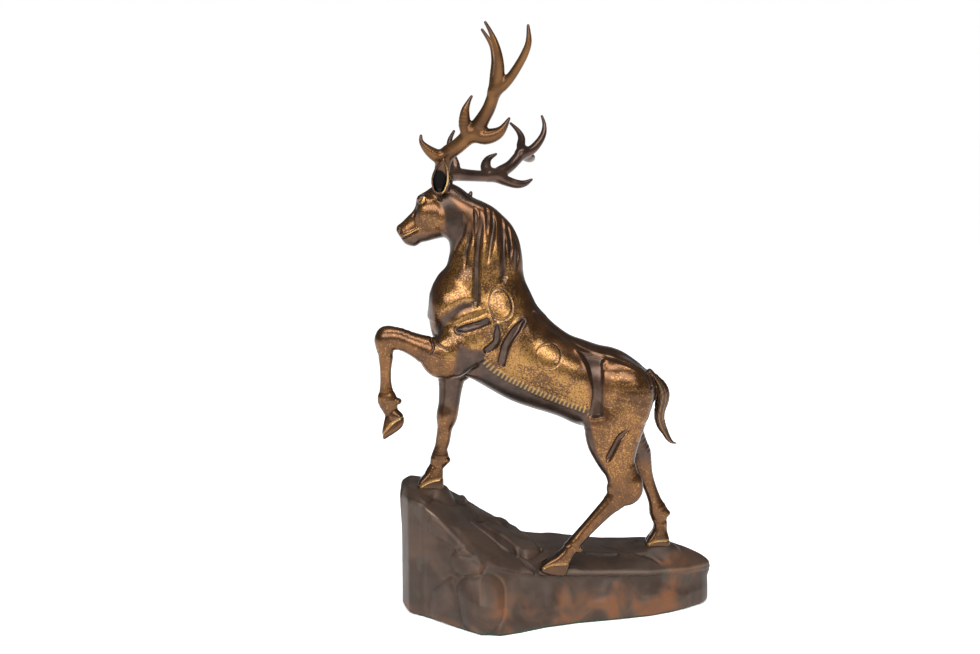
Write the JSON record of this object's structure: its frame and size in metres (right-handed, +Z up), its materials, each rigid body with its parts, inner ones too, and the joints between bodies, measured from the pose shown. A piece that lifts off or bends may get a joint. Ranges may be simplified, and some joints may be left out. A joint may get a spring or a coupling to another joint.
{
  "type": "bronze statuette",
  "caption": "Rearing stag cast in bronze, one foreleg raised, standing on a hollow rock, with antlers that plug into the head.",
  "frame": {"origin": "middle of the flat felt underside of the rock, which rests on the table", "axes": "+Z up, the tallest way; -X towards the stag's nose; +Y the stag's right side, the narrowest way"},
  "size_m": [0.274, 0.1562, 0.4753],
  "materials": {
    "gilt_bronze": "cast bronze, dark brown patina with speckled parcel gilding",
    "antler_bronze": "cast bronze, smooth chestnut-brown patina",
    "rock_patina": "cast bronze, dark brown patina with rust-orange veins",
    "brass_sheet": "rolled brass sheet, dull",
    "brass_rod": "drawn brass rod",
    "steel": "zinc-plated steel",
    "felt": "dark green felt"
  },
  "bodies": {
    "statuette": {"rock_base": "rock_patina", "base_cover": "brass_sheet", "cover_screws": "steel", "base_felt": "felt", "torso": "gilt_bronze", "neck": "gilt_bronze", "head": "gilt_bronze", "left_ear": "gilt_bronze", "right_ear": "gilt_bronze", "tail": "gilt_bronze", "left_foreleg": "gilt_bronze", "right_foreleg": "gilt_bronze", "left_hind_leg": "gilt_bronze", "right_hind_leg": "gilt_bronze", "neck_dowel": "brass_rod", "head_dowel": "brass_rod", "shoulder_dowel": "brass_rod", "hip_dowel": "brass_rod", "tail_dowel": "brass_rod", "hoof_studs": "steel", "stud_washers": "steel", "stud_nuts": "steel"},
    "left_antler": {"left_antler": "antler_bronze", "left_antler_peg": "brass_rod"},
    "right_antler": {"right_antler": "antler_bronze", "right_antler_peg": "brass_rod"}
  },
  "joints": [
    {"name": "left_antler_pull", "type": "slide", "parent": "statuette", "child": "left_antler", "axis": [0, -0.2079, 0.9781], "range_m": [0, 0.011]},
    {"name": "right_antler_pull", "type": "slide", "parent": "statuette", "child": "right_antler", "axis": [0, 0.5, 0.866], "range_m": [0, 0.011]}
  ]
}
